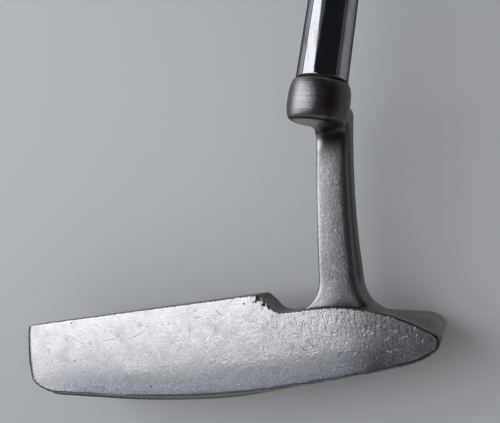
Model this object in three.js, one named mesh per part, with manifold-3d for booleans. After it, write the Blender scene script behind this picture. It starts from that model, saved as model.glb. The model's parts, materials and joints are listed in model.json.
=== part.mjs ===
// Offset blade putter, right-handed, lying on its back. Sizes are in millimetres.
//
// The club is drawn as it stands at address: +X runs from toe to heel, +Y from the face to the
// back, +Z up from the ground. At the end it is laid face up, where it rests on the two rear
// bumpers of the head and on the side of the grip.

import * as THREE from 'three';
import { mergeVertices } from 'three/addons/utils/BufferGeometryUtils.js';
import Module from 'manifold-3d';

const wasm = await Module();
wasm.setup();

const degree = Math.PI / 180;

// Whole club
const clubLength = 889;            // ground to cap, along the shaft: 35 in
const lieAngle = 72 * degree;      // shaft to ground
const loftAngle = 3 * degree;      // face leaning back
const cutOverrun = 20;             // how far a cutter runs past what it cuts
const mergeDistance = 0.001;       // points closer than this are one

// Face, as reaches from the middle of the face and heights above the ground
const topLineToeReach = 57.3;
const topLineToeHeight = 26.7;
const topLineToeRadius = 0.8;
const notchLipReach = 14.6;
const notchLipHeight = 26.3;
const notchLipRadius = 1.2;
const notchFootReach = 19.4;
const notchFloorHeight = 20.85;
const notchFootRadius = 5;
const heelSweepReach = 43;
const heelSweepRadius = 46;
const heelTipReach = 59.9;
const heelTipHeight = 9.2;
const heelTipRadius = 2.5;
const heelUnderReach = 51.8;
const heelUnderHeight = 5.8;
const heelUnderRadius = 18;
const faceCamberReach = 7.5;
const faceCamberDip = 0.4;         // below the ground, where the two ends of the camber would meet
const faceCamberRadius = 290;
const toeUnderReach = 60.8;
const toeUnderHeight = 8.2;
const toeUnderRadius = 10.5;

// Body behind the face, where the heel is squarer and the sole reaches the ground
const headDepth = 27;
const bodyToeReach = 56.9;
const bodyToeRadius = 1.5;
const heelBlockShoulderReach = 29.5;
const heelBlockShoulderRadius = 20;
const heelBlockReach = 60;
const heelBlockHeight = 13.3;
const heelBlockRadius = 4.5;
const heelBlockFootReach = 55.9;
const heelBlockFootHeight = 3.9;
const heelBlockFootRadius = 5;
const soleCamberReach = 5;
const soleCamberDip = 2.6;
const soleCamberRadius = 300;
const bodyToeUnderReach = 60.6;
const bodyToeUnderHeight = 6.3;
const edgeRound = 0.3;             // round on the edge of the face
const rearRound = 1.4;             // round on the rear edge of the body

// Back of the head
const topLineThickness = 9;
const bumperCrestHeight = 21.5;    // where the back of the top line meets the bumpers
const bumperTailHeight = 12.5;     // at the rear edge
const bumperFootRadius = 3;
const faceWall = 5.5;              // face to cavity at the flange
const cavityDraft = 7 * degree;    // front wall of the cavity
const flangeThickness = 6;
const cavityToeReach = 33;
const cavityHeelReach = 13;
const cavitySideDraft = 30 * degree;
const cavityCornerRadius = 4;
const cavityFloorRadius = 2.5;
const sightLineLength = 12;
const sightLineWidth = 1.4;
const sightLineDepth = 0.8;

// Neck, a bar that rises from the heel and leans with the shaft
const neckSetback = 1.5;           // face edge to the front of the neck, at the notch floor
const neckDepth = 8.6;
const neckLeftReach = 30.4;        // at the notch floor
const neckRightReach = 41.4;
const neckTopHeight = 71;
const neckTopLeftReach = 37.9;
const neckTopRightReach = 46.6;
const neckLeftBow = 1.2;           // power of each side's lean: over 1, it grows with height
const neckRightBow = 2;
const neckFrontLeftRadius = 1.2;
const neckFrontRightRadius = 3.2;
const neckFrontBow = 0.6;          // how far the front stands out between its edges
const neckFrontBowShare = 0.4;     // of the way from the left edge to the right one
const neckFrontBowRadius = 27;
const neckBackRadius = 2.4;
const neckCrownRadius = 3.4;
const notchSideFillet = 7;
const heelSideFillet = 10.5;
const neckBackFillet = 5;
const filletSink = 0.35;           // how far the foot of a fillet goes into what it lands on
const underBarrelFillet = 3.2;
const armLead = 6.5;               // how far the neck's top reaches forward into the barrel

// Barrel and the post inside the shaft, on the shaft's axis
const shaftSeatReach = 41.72;      // middle of the barrel's shoulder
const shaftSeatHeight = 74.33;
const shaftSeatLead = 4.68;        // ahead of the foot of the face
const barrelLength = 10;
const barrelRadius = 7.62;
const barrelShoulderRadius = 6.75;
const barrelUndersideRadius = 6;
const postLength = 22;
const postRadius = 5.3;
const postTopRadius = 4.95;
const postChamfer = 0.6;

// Shaft: a steel tube that flares over the post, tapers to its waist and steps up to the butt
const shaftTipRadius = 6.35;       // 1/2 in across
const shaftWaistRadius = 4.7;
const shaftFlareLength = 95;
const shaftFirstStep = 190;
const shaftStepPitch = 33;
const shaftStepCount = 10;
const shaftStepRise = 0.25;        // on the radius
const shaftStepRun = 0.8;
const shaftTipWall = 0.5;
const shaftWall = 0.45;
const shaftTipChamfer = 0.15;

// Adhesive between post and shaft, squeezed out as a bead on the shoulder
const glueThickness = 0.3;
const glueClearance = 0.1;
const glueBeadHeight = 0.35;
const glueBeadProud = 0.12;
const glueStopShort = 3;

// Grip and its tape
const gripLength = 267;            // 10.5 in
const capThickness = 5;
const tapeThickness = 0.25;
const fitClearance = 0.1;
const tapeInset = 4;
const gripMouthFront = 9.2;        // shaft axis to the thumb flat
const gripButtFront = 12.2;
const gripMouthHalfWidth = 9.8;
const gripButtHalfWidth = 13.4;
const gripMouthBack = 9.8;
const gripMiddleBack = 12;
const gripButtBack = 18.2;
const gripFrontRadius = 4.6;
const gripLipHeight = 3;
const gripLipProud = 0.6;
const pistolLength = 95;           // stretch of the grip that swells towards the butt
const capRound = 2.2;
const capSpigotLength = 7;
const capSpigotClearance = 0.3;
const ventHoleRadius = 1.5;
const capSeam = 0.1;               // between sleeve and cap

const roundSteps = 48;             // facets round the shaft and all that is on its axis
const settlingPasses = 6;          // rounds of finding the points that the club lies on

// A loop of corners, each with a fillet arc, drawn as points. A positive inset moves every edge
// inwards. Where two fillets would meet, they share their edge in proportion. Corners run
// clockwise, and a corner is [across, up, radius, steps].
function roundedLoop(corners, inset = 0) {
  const count = corners.length;
  const at = corners.map(([across, up]) => new THREE.Vector2(across, up));
  const inward = at.map((point, i) => {
    const along = at[(i + 1) % count].clone().sub(point).normalize();
    return new THREE.Vector2(along.y, -along.x);
  });
  const moved = at.map((point, i) => {
    const before = inward[(i + count - 1) % count];
    const after = inward[i];
    return before.clone().add(after).multiplyScalar(inset / (1 + before.dot(after))).add(point);
  });
  const corner = moved.map((point, i) => {
    const toLast = moved[(i + count - 1) % count].clone().sub(point);
    const toNext = moved[(i + 1) % count].clone().sub(point);
    const edge = toNext.length();
    toLast.normalize();
    toNext.normalize();
    const half = Math.acos(THREE.MathUtils.clamp(toLast.dot(toNext), -1, 1)) / 2;
    const convex = toLast.cross(toNext) > 0;
    const radius = Math.max(corners[i][2] - (convex ? inset : -inset), 0);
    return { point, toLast, toNext, edge, half, tangent: radius / Math.tan(half) };
  });
  const points = [];
  corner.forEach(({ point, toLast, toNext, half, tangent }, i) => {
    const last = corner[(i + count - 1) % count];
    const next = corner[(i + 1) % count];
    const { edge } = corner[i];
    const fit = Math.min(1, last.edge / (last.tangent + tangent), edge / (tangent + next.tangent));
    const start = toLast.clone().multiplyScalar(tangent * fit).add(point);
    const end = toNext.clone().multiplyScalar(tangent * fit).add(point);
    const steps = corners[i][3];
    for (let k = 0; k <= steps; k++) {
      const t = k / steps;
      const weights = [(1 - t) ** 2, 2 * t * (1 - t) * Math.sin(half), t ** 2];
      const total = weights[0] + weights[1] + weights[2];
      points.push(new THREE.Vector2()
        .addScaledVector(start, weights[0] / total)
        .addScaledVector(point, weights[1] / total)
        .addScaledVector(end, weights[2] / total));
    }
  });
  return points;
}

// A skin over rings of equally many points, closed by a flat cap on each end. Each patch is
// folded along its shorter diagonal. flatten gives a ring point's place in the plane of its cap.
function skinRings(rings, flatten) {
  const size = rings[0].length;
  const points = rings.flat();
  const position = points.flatMap((point) => [point.x, point.y, point.z]);
  const index = [];
  for (let r = 0; r + 1 < rings.length; r++) {
    for (let i = 0; i < size; i++) {
      const j = (i + 1) % size;
      const [a, b, c, d] = [r * size + i, r * size + j, (r + 1) * size + j, (r + 1) * size + i];
      const foldAtA = points[a].distanceTo(points[c]) < points[b].distanceTo(points[d]);
      index.push(...(foldAtA ? [a, b, c, a, c, d] : [a, b, d, b, c, d]));
    }
  }
  for (const [r, turned] of [[0, true], [rings.length - 1, false]]) {
    const flat = rings[r].map(flatten);
    const clockwise = THREE.ShapeUtils.isClockWise(flat);
    for (const [a, b, c] of THREE.ShapeUtils.triangulateShape(flat, [])) {
      const corners = [r * size + a, r * size + b, r * size + c];
      index.push(...(clockwise === turned ? corners : corners.reverse()));
    }
  }
  return closedGeometry(position, index);
}

// A closed geometry from loose triangles: points that coincide become one, triangles that this
// leaves without width go, and the faces point out whichever way round they were given.
function closedGeometry(position, index) {
  const loose = new THREE.BufferGeometry();
  loose.setAttribute('position', new THREE.Float32BufferAttribute(position, 3));
  loose.setIndex(index);
  const geometry = mergeVertices(loose, mergeDistance);
  const merged = [...geometry.index.array];
  const vertex = (i) => new THREE.Vector3().fromBufferAttribute(geometry.attributes.position, i);
  const kept = [];
  let volume = 0;
  for (let i = 0; i < merged.length; i += 3) {
    const [a, b, c] = merged.slice(i, i + 3);
    if (a === b || b === c || c === a) continue;
    kept.push(a, b, c);
    volume += vertex(a).dot(vertex(b).cross(vertex(c)));
  }
  geometry.setIndex(volume > 0 ? kept : kept.reverse());
  return geometry;
}

// A body of revolution about +Z from a profile of [radius, height] points.
function revolve(profile) {
  const points = profile.map(([radius, height]) => new THREE.Vector2(radius, height));
  const geometry = new THREE.LatheGeometry(points, roundSteps).rotateX(90 * degree);
  return closedGeometry([...geometry.attributes.position.array], [...geometry.index.array]);
}

function toSolid(geometry) {
  return new wasm.Manifold(new wasm.Mesh({
    numProp: 3,
    vertProperties: new Float32Array(geometry.attributes.position.array),
    triVerts: new Uint32Array(geometry.index.array),
  }));
}

function toGeometry(solid) {
  const mesh = solid.getMesh();
  const geometry = new THREE.BufferGeometry();
  geometry.setAttribute('position', new THREE.Float32BufferAttribute(mesh.vertProperties, 3));
  geometry.setIndex([...mesh.triVerts]);
  return geometry;
}

// Width that a concave fillet adds to an upright edge, at a height above where its surface
// meets the line of that edge. The surface may fall away from the edge with a slope.
function filletSpread(height, radius, slope = 0) {
  const secant = Math.hypot(1, slope);
  const middle = radius * (secant - slope);
  if (height >= middle) return 0;
  const drop = Math.min(middle - height, radius / secant);
  return radius - Math.sqrt(radius ** 2 - drop ** 2);
}

// Head: blade

const mix = THREE.MathUtils.lerp;

// Facets on each corner of the outline, from the top of the toe round by the heel
const [toeTopSteps, lipSteps, footSteps, sweepSteps] = [4, 4, 8, 18];
const [tipSteps, underSteps, camberSteps, toeSteps] = [10, 8, 22, 12];

// The outline at a depth behind the face: soleShare and heelShare say how far it has gone from
// the outline of the face to that of the body. The points along the top of the heel are spread
// evenly, so that outlines of either form match point by point.
function bladeOutline(soleShare, heelShare, inset) {
  const outline = roundedLoop([
    [-mix(topLineToeReach, bodyToeReach, heelShare), topLineToeHeight,
      mix(topLineToeRadius, bodyToeRadius, heelShare), toeTopSteps],
    [notchLipReach, notchLipHeight, notchLipRadius, lipSteps],
    [notchFootReach, notchFloorHeight, notchFootRadius, footSteps],
    [mix(heelSweepReach, heelBlockShoulderReach, heelShare), notchFloorHeight,
      mix(heelSweepRadius, heelBlockShoulderRadius, heelShare), sweepSteps],
    [mix(heelTipReach, heelBlockReach, heelShare), mix(heelTipHeight, heelBlockHeight, heelShare),
      mix(heelTipRadius, heelBlockRadius, heelShare), tipSteps],
    [mix(heelUnderReach, heelBlockFootReach, soleShare),
      mix(heelUnderHeight, heelBlockFootHeight, soleShare),
      mix(heelUnderRadius, heelBlockFootRadius, soleShare), underSteps],
    [mix(faceCamberReach, soleCamberReach, soleShare), -mix(faceCamberDip, soleCamberDip, soleShare),
      mix(faceCamberRadius, soleCamberRadius, soleShare), camberSteps],
    [-mix(toeUnderReach, bodyToeUnderReach, soleShare),
      mix(toeUnderHeight, bodyToeUnderHeight, soleShare),
      toeUnderRadius, toeSteps],
  ], inset);
  const first = toeTopSteps + lipSteps + footSteps + 2;
  const last = first + sweepSteps + 2;
  const heelTop = new THREE.Path(outline.slice(first, last + 1)).getSpacedPoints(last - first);
  outline.splice(first, heelTop.length, ...heelTop);
  return outline;
}

// From the face to the rear: share of the head's depth, of the sole's drop and of the heel's
// change of form, and the inset as a share of the round at that edge.
const frontStationShares = [
  [0, 0, 0, 1], [0.004, 0.03, 0, 0.4], [0.012, 0.12, 0.01, 0], [0.035, 0.34, 0.06, 0],
  [0.065, 0.54, 0.15, 0], [0.105, 0.7, 0.28, 0], [0.16, 0.84, 0.48, 0], [0.235, 0.94, 0.76, 0],
  [0.33, 1, 1, 0], [0.62, 1, 1, 0],
];
const rearStationShares = [
  [0.88, 0.96, 1, 0], [0.948, 0.94, 1, 0], [0.975, 0.93, 1, 0.22], [0.99, 0.92, 1, 0.56],
  [1, 0.92, 1, 1],
];

function bladeBlank() {
  const ring = ([depthShare, soleShare, heelShare, insetShare], round) => {
    const depth = depthShare * headDepth;
    return bladeOutline(soleShare, heelShare, insetShare * round).map(({ x, y }) =>
      new THREE.Vector3(x, depth + y * Math.tan(loftAngle) * (1 - depthShare), y));
  };
  const rings = frontStationShares.map((station) => ring(station, edgeRound))
    .concat(rearStationShares.map((station) => ring(station, rearRound)));
  return skinRings(rings, ({ x, z }) => new THREE.Vector2(x, z));
}

// What is cleared above the bumpers, behind the top line: a side view carried along X.
function bumperCutter() {
  const tailDepth = headDepth + cutOverrun;
  const slope = (bumperCrestHeight - bumperTailHeight) / (headDepth - topLineThickness);
  const tailHeight = bumperTailHeight - slope * cutOverrun;
  const profile = roundedLoop([
    [topLineThickness, topLineToeHeight + cutOverrun, 0, 1],
    [tailDepth, topLineToeHeight + cutOverrun, 0, 1],
    [tailDepth, tailHeight, 0, 1],
    [topLineThickness, bumperCrestHeight, bumperFootRadius, 8],
  ]);
  const rings = [-topLineToeReach - cutOverrun, heelBlockReach + cutOverrun].map((x) =>
    profile.map((point) => new THREE.Vector3(x, point.x, point.y)));
  return skinRings(rings, ({ y, z }) => new THREE.Vector2(y, z));
}

// The open cavity between the bumpers: plan outlines that grow with height.
function cavityCutter() {
  const topRise = topLineToeHeight + cutOverrun - flangeThickness;
  const ringAt = (rise, inset) => {
    const spread = rise * Math.tan(cavitySideDraft);
    const front = faceWall + rise * Math.tan(cavityDraft);
    return roundedLoop([
      [-cavityToeReach - spread, headDepth + cutOverrun, 0, 1],
      [cavityHeelReach + spread, headDepth + cutOverrun, 0, 1],
      [cavityHeelReach + spread, front, cavityCornerRadius, 6],
      [-cavityToeReach - spread, front, cavityCornerRadius, 6],
    ], inset).map(({ x, y }) => new THREE.Vector3(x, y, flangeThickness + rise));
  };
  const floorSteps = 5;
  const rings = [];
  for (let k = 0; k <= floorSteps; k++) {
    const turn = 90 * degree * k / floorSteps;
    rings.push(ringAt(cavityFloorRadius * (1 - Math.cos(turn)), cavityFloorRadius * (1 - Math.sin(turn))));
  }
  rings.push(ringAt(topRise, 0));
  return skinRings(rings, ({ x, y }) => new THREE.Vector2(x, y));
}

function sightLineCutter() {
  const middle = headDepth - sightLineLength / 2 - rearRound - sightLineWidth;
  const box = new THREE.BoxGeometry(sightLineWidth, sightLineLength, 2 * sightLineDepth)
    .translate(0, middle, flangeThickness);
  return closedGeometry([...box.attributes.position.array], [...box.index.array]);
}

// Head: neck

// Height of the barrel's underside where the neck's left side runs into it
const undersideReach = shaftSeatReach - barrelLength * Math.cos(lieAngle);
const armHeight = shaftSeatHeight - barrelLength * Math.sin(lieAngle) + filletSink +
  (undersideReach - neckTopLeftReach) / Math.tan(lieAngle);
const heelSlope = (notchFloorHeight - heelBlockHeight) / (heelBlockReach - heelBlockShoulderReach);
const neckHeelHeight = notchFloorHeight - heelSlope * (neckRightReach - heelBlockShoulderReach) - filletSink;
const neckNotchHeight = notchFloorHeight - filletSink;

// The neck's section at a height: two leaning sides, with fillets where it lands on the notch
// floor, the heel and the bumper, and where it turns forward under the barrel.
function neckRing(height, crownInset) {
  const riseShare = Math.max(0, (height - notchFloorHeight) / (neckTopHeight - notchFloorHeight));
  const arm = armLead / underBarrelFillet * filletSpread(armHeight - height, underBarrelFillet);
  const front = notchFloorHeight * Math.tan(loftAngle) + neckSetback;
  const leftEdge = mix(neckLeftReach, neckTopLeftReach, riseShare ** neckLeftBow) -
    filletSpread(height - neckNotchHeight, notchSideFillet);
  const rightEdge = mix(neckRightReach, neckTopRightReach, riseShare ** neckRightBow) +
    filletSpread(height - neckHeelHeight, heelSideFillet, heelSlope);
  const frontEdge = front - arm;
  const backEdge = front + neckDepth + filletSpread(height - neckHeelHeight, neckBackFillet);
  return roundedLoop([
    [leftEdge, backEdge, neckBackRadius, 5],
    [rightEdge, backEdge, neckBackRadius, 5],
    [rightEdge, frontEdge, neckFrontRightRadius, 6],
    [mix(leftEdge, rightEdge, neckFrontBowShare), frontEdge - neckFrontBow, neckFrontBowRadius, 4],
    [leftEdge, frontEdge, neckFrontLeftRadius, 4],
  ], crownInset).map(({ x, y }) => new THREE.Vector3(x, y, height));
}

const neckShankShares = [0.2, 0.4, 0.6, 0.8];
const neckFilletSteps = 9;

function neckBar() {
  const foot = neckHeelHeight - neckBackFillet;
  const heelFilletTop = neckHeelHeight + heelSideFillet;
  const armFilletFoot = armHeight - underBarrelFillet;
  const heights = [foot];
  for (let k = 0; k <= neckFilletSteps; k++) {
    const climbShare = 1 - Math.cos(90 * degree * k / neckFilletSteps);
    heights.push(mix(neckHeelHeight - heelSlope * heelSideFillet, heelFilletTop, climbShare));
    heights.push(neckNotchHeight + notchSideFillet * climbShare);
    heights.push(armHeight - underBarrelFillet * climbShare);
  }
  heights.push(...neckShankShares.map((share) => mix(heelFilletTop, armFilletFoot, share)));
  heights.sort((a, b) => a - b);
  const rings = heights.map((height) => neckRing(height, 0));
  for (let k = 0; k <= neckFilletSteps; k++) {
    const turn = 80 * degree * k / neckFilletSteps;
    const height = neckTopHeight - neckCrownRadius * (1 - Math.sin(turn));
    rings.push(neckRing(height, neckCrownRadius * (1 - Math.cos(turn))));
  }
  return skinRings(rings, ({ x, y }) => new THREE.Vector2(x, y));
}

// Head: barrel and the post on its shoulder, one turned form on the shaft's axis

// Up the side of the barrel: share of its length, and of the swell from shoulder to full radius.
const barrelSideShares = [[0.99, -0.45], [0.95, 0.05], [0.88, 0.5], [0.78, 0.82], [0.66, 0.97], [0.5, 1],
  [0.34, 0.97], [0.2, 0.8], [0.1, 0.52], [0.03, 0.2]];

function barrelAndPost() {
  return revolve([
    [0, -barrelLength],
    [barrelUndersideRadius, -barrelLength],
    ...barrelSideShares.map(([lengthShare, swellShare]) =>
      [mix(barrelShoulderRadius, barrelRadius, swellShare), -lengthShare * barrelLength]),
    [barrelShoulderRadius, 0],
    [postRadius, 0],
    [postTopRadius, postLength - postChamfer],
    [postTopRadius - postChamfer, postLength],
    [0, postLength],
  ]);
}

// Tips +Z over into the shaft's direction and sets it on the barrel's shoulder.
const onShaftAxis = new THREE.Matrix4()
  .makeTranslation(shaftSeatReach, -shaftSeatLead, shaftSeatHeight)
  .multiply(new THREE.Matrix4().makeRotationY(90 * degree - lieAngle));

function headCasting() {
  const blade = toSolid(bladeBlank())
    .subtract(toSolid(bumperCutter()))
    .subtract(toSolid(cavityCutter()))
    .subtract(toSolid(sightLineCutter()));
  return toGeometry(blade
    .add(toSolid(neckBar()))
    .add(toSolid(barrelAndPost().applyMatrix4(onShaftAxis))));
}

// Shaft, adhesive and tape: turned forms measured from the barrel's shoulder

const seatFromGround = shaftSeatHeight / Math.sin(lieAngle);
const capTop = clubLength - seatFromGround;
const shaftEnd = capTop - capThickness - capSeam;
const shaftFoot = glueClearance + glueBeadHeight + glueClearance;

// Outside radius of the flared stretch at a height.
function flareRadius(height) {
  return mix(shaftTipRadius, shaftWaistRadius, Math.min(height / shaftFlareLength, 1));
}

// Inside radius of the shaft: it follows the flare, then widens evenly to the butt.
function boreRadius(height) {
  const buttRadius = shaftWaistRadius + shaftStepCount * shaftStepRise;
  const rise = Math.max(0, (height - shaftFirstStep) / (shaftStepCount * shaftStepPitch));
  const above = mix(shaftWaistRadius, buttRadius, Math.min(rise, 1)) - shaftWall;
  return height < shaftFlareLength ? flareRadius(height) - shaftTipWall : above;
}

function shaftTube() {
  const outside = [
    [flareRadius(shaftFoot) - shaftTipChamfer, shaftFoot],
    [flareRadius(shaftFoot), shaftFoot + shaftTipChamfer],
    [shaftWaistRadius, shaftFlareLength],
  ];
  let radius = shaftWaistRadius;
  for (let step = 0; step < shaftStepCount; step++) {
    const height = shaftFirstStep + step * shaftStepPitch;
    outside.push([radius, height], [radius + shaftStepRise, height + shaftStepRun]);
    radius += shaftStepRise;
  }
  outside.push([radius, shaftEnd]);
  const stepsEnd = shaftFirstStep + shaftStepCount * shaftStepPitch;
  const inside = [shaftEnd, stepsEnd, shaftFirstStep, shaftFlareLength, shaftFoot]
    .map((height) => [boreRadius(height), height]);
  return revolve([...outside, ...inside, outside[0]]);
}

function adhesiveSleeve() {
  const top = postLength - glueStopShort;
  const outer = (height) => boreRadius(height) - glueClearance;
  const inner = (height) => outer(height) - glueThickness;
  const beadTop = glueClearance + glueBeadHeight;
  const beadRadius = shaftTipRadius + glueBeadProud;
  const profile = [
    [inner(glueClearance), glueClearance],
    [beadRadius - glueBeadProud, glueClearance],
    [beadRadius, glueClearance + glueBeadHeight / 2],
    [beadRadius - glueBeadProud, beadTop],
    [outer(beadTop), beadTop],
    [outer(top), top],
    [inner(top), top],
  ];
  return revolve([...profile, profile[0]]);
}

const buttRadius = shaftWaistRadius + shaftStepCount * shaftStepRise;
const tapeRadius = buttRadius + fitClearance + tapeThickness;
const gripBoreRadius = tapeRadius + fitClearance;
const gripEnd = capTop - capThickness - capSeam;
const gripFoot = capTop - gripLength;

function gripTape() {
  const inner = buttRadius + fitClearance;
  const [low, high] = [gripFoot + tapeInset, shaftEnd - tapeInset];
  return revolve([[inner, low], [tapeRadius, low], [tapeRadius, high], [inner, high], [inner, low]]);
}

// Grip: a pistol grip with a flat for the thumbs, square to the face

// The grip's outline at a height, seen down the shaft. The flat looks away from the player, to
// -X, and the round back swells towards the butt.
function gripOutline(height, inset) {
  const share = (height - gripFoot) / gripLength;
  const pistolShare = THREE.MathUtils.smoothstep(height, capTop - pistolLength, capTop - pistolLength / 4);
  const front = mix(gripMouthFront, gripButtFront, share);
  const halfWidth = mix(gripMouthHalfWidth, gripButtHalfWidth, share);
  const back = mix(mix(gripMouthBack, gripMiddleBack, share), gripButtBack, pistolShare);
  return roundedLoop([
    [-front, halfWidth, gripFrontRadius, 6],
    [back, halfWidth, halfWidth, 12],
    [back, -halfWidth, halfWidth, 12],
    [-front, -halfWidth, gripFrontRadius, 6],
  ], inset).map(({ x, y }) => new THREE.Vector3(x, y, height));
}

const gripStationShares = [0.04, 0.25, 0.5, 0.62, 0.68, 0.74, 0.8, 0.86, 0.91, 0.95];
const lipProfileShares = [[0, 0.3], [0.15, 0.9], [0.5, 1], [0.8, 0.9], [1, 0]];

function gripSleeve() {
  const lip = lipProfileShares.map(([heightShare, proudShare]) =>
    gripOutline(gripFoot + heightShare * gripLipHeight, -proudShare * gripLipProud));
  const rise = gripStationShares.map((share) => gripOutline(mix(gripFoot, gripEnd, share), 0));
  const rings = [...lip, ...rise, gripOutline(gripEnd, 0)];
  const outer = skinRings(rings, ({ x, y }) => new THREE.Vector2(x, y));
  const bore = revolve([
    [0, gripFoot - cutOverrun],
    [gripBoreRadius, gripFoot - cutOverrun],
    [gripBoreRadius, gripEnd + cutOverrun],
    [0, gripEnd + cutOverrun],
  ]);
  return toGeometry(toSolid(outer).subtract(toSolid(bore)));
}

function gripCap() {
  const domeSteps = 5;
  const rings = [gripOutline(gripEnd + capSeam, 0)];
  for (let k = 0; k <= domeSteps; k++) {
    const turn = 90 * degree * k / domeSteps;
    rings.push(gripOutline(capTop - capRound * (1 - Math.sin(turn)), capRound * (1 - Math.cos(turn))));
  }
  const crown = toSolid(skinRings(rings, ({ x, y }) => new THREE.Vector2(x, y)));
  const spigotRadius = buttRadius - shaftWall - capSpigotClearance;
  const spigot = toSolid(revolve([
    [0, shaftEnd - capSpigotLength],
    [spigotRadius - capRound / 2, shaftEnd - capSpigotLength],
    [spigotRadius, shaftEnd - capSpigotLength + capRound / 2],
    [spigotRadius, capTop - capThickness / 2],
    [0, capTop - capThickness / 2],
  ]));
  const vent = toSolid(revolve([
    [0, shaftEnd - cutOverrun],
    [ventHoleRadius, shaftEnd - cutOverrun],
    [ventHoleRadius, capTop + cutOverrun],
    [0, capTop + cutOverrun],
  ]));
  return toGeometry(crown.add(spigot).subtract(vent));
}

// The pieces, each with the finish it has in daylight

function piece(name, geometry, color, roughness, metalness) {
  const mesh = new THREE.Mesh(geometry, new THREE.MeshStandardMaterial({ color, roughness, metalness }));
  mesh.name = name;
  return mesh;
}

const head = piece('head', headCasting(), 0xa3a4a3, 0.38, 1);

const stick = new THREE.Group();
onShaftAxis.decompose(stick.position, stick.quaternion, stick.scale);
stick.add(
  piece('shaft_adhesive', adhesiveSleeve(), 0x2a241f, 0.7, 0),
  piece('shaft', shaftTube(), 0xc9ccd0, 0.08, 1),
  piece('grip_tape', gripTape(), 0xcfc4a4, 0.9, 0),
  piece('grip_sleeve', gripSleeve(), 0x1c1c1d, 0.85, 0),
  piece('grip_cap', gripCap(), 0x222224, 0.7, 0),
);

const club = new THREE.Group();
club.add(head, stick);

// Lying down: the club turns about X until its face looks up, and a little further, until the
// head's rear edge and the side of the grip are level.
function layDown(group) {
  const points = [];
  group.updateMatrixWorld(true);
  group.traverse((object) => {
    if (!object.isMesh) return;
    const position = object.geometry.attributes.position;
    for (let i = 0; i < position.count; i++) {
      const point = new THREE.Vector3().fromBufferAttribute(position, i).applyMatrix4(object.matrixWorld);
      points.push({ along: point.z, below: point.y, onHead: object === head });
    }
  });
  let tilt = 0;
  for (let pass = 0; pass < settlingPasses; pass++) {
    const sink = ({ along, below }) => below * Math.cos(tilt) + along * Math.sin(tilt);
    const foot = points.filter((point) => point.onHead).reduce((a, b) => (sink(a) > sink(b) ? a : b));
    tilt = Math.min(...points.filter((point) => point.along > gripFoot)
      .map((point) => Math.atan2(foot.below - point.below, point.along - foot.along)));
  }
  group.rotation.x = -90 * degree - tilt;
}

layDown(club);

// The origin goes to the middle of the footprint, on the surface that the club lies on.
const putter = new THREE.Group();
putter.add(club);
putter.updateMatrixWorld(true);
const bounds = new THREE.Box3().setFromObject(putter, true);
const middle = bounds.getCenter(new THREE.Vector3());
club.position.set(-middle.x, -middle.y, -bounds.min.z);

export default putter;
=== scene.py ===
"""A blade putter lying face up on a painted board, seen from close above its neck."""

import json
import math

import bmesh
import bpy
import numpy as np
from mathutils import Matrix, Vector


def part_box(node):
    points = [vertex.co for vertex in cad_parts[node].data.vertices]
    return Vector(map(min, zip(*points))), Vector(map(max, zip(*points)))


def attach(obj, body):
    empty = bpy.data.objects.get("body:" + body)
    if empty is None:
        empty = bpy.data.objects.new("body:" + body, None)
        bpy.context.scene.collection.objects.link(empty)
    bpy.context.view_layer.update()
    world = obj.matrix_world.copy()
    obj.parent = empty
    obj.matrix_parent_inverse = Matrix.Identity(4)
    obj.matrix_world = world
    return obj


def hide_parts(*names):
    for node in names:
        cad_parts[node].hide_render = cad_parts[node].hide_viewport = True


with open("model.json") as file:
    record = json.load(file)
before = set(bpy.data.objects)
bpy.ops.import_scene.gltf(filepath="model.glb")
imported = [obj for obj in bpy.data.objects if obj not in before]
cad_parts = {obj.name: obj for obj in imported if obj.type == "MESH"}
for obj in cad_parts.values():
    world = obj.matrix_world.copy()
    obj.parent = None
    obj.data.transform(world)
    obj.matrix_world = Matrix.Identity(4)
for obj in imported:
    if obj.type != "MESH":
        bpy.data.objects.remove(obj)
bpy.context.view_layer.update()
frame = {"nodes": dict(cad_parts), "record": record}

# Camera
# It looks down on the face from close by, above the neck and tilted towards the toe, through a
# normal lens, worked out for a picture 500 pixels wide.

mm = 0.001
mounts = {mount["name"]: mount for mount in frame["record"]["mounts"]}
face_middle = np.array(mounts["strike_face"]["pos_m"])
face_out = np.array(mounts["strike_face"]["axis"])
camera_from_face = np.array([67.86, 21.79, 145.04]) * mm
camera_turn_degrees = (1.416, 19.827, -9.861)
focal_length_pixels = 600
picture_width_pixels = 500


def placed(name, data):
    """A new object in the scene, for a mesh, a lamp or a camera."""
    thing = bpy.data.objects.new(name, data)
    bpy.context.scene.collection.objects.link(thing)
    return thing


lens = bpy.data.cameras.new("camera")
lens.lens = lens.sensor_width * focal_length_pixels / picture_width_pixels
lens.clip_start = 10 * mm
camera = placed("camera", lens)
camera.location = face_middle + camera_from_face
camera.rotation_euler = [math.radians(angle) for angle in camera_turn_degrees]
bpy.context.scene.camera = camera


# Head
# One casting: blade, neck, barrel, and the post inside the shaft. It is satin stainless steel,
# filed by hand on the neck and half polished on the barrel. Play has dinged and scratched it.

skin_pitch = 0.48 * mm
relax_passes = 8
edge_cuts = 2
edge_growth = 3


def merged_copy(node):
    """A CAD node's mesh with its loose triangles joined at their shared corners."""
    mesh = frame["nodes"][node].data.copy()
    joined = bmesh.new()
    joined.from_mesh(mesh)
    bmesh.ops.remove_doubles(joined, verts=joined.verts, dist=0.002 * mm)
    joined.to_mesh(mesh)
    joined.free()
    mesh.materials.clear()
    return mesh


def wrapped(mesh, pitch):
    """An even skin of small quads, about pitch wide, over a closed mesh."""
    carrier = placed("carrier", mesh)
    wrap = carrier.modifiers.new("wrap", "REMESH")
    wrap.mode = "VOXEL"
    wrap.voxel_size = pitch
    graph = bpy.context.evaluated_depsgraph_get()
    skin = bpy.data.meshes.new_from_object(carrier.evaluated_get(graph))
    bpy.data.objects.remove(carrier)
    return skin


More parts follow.
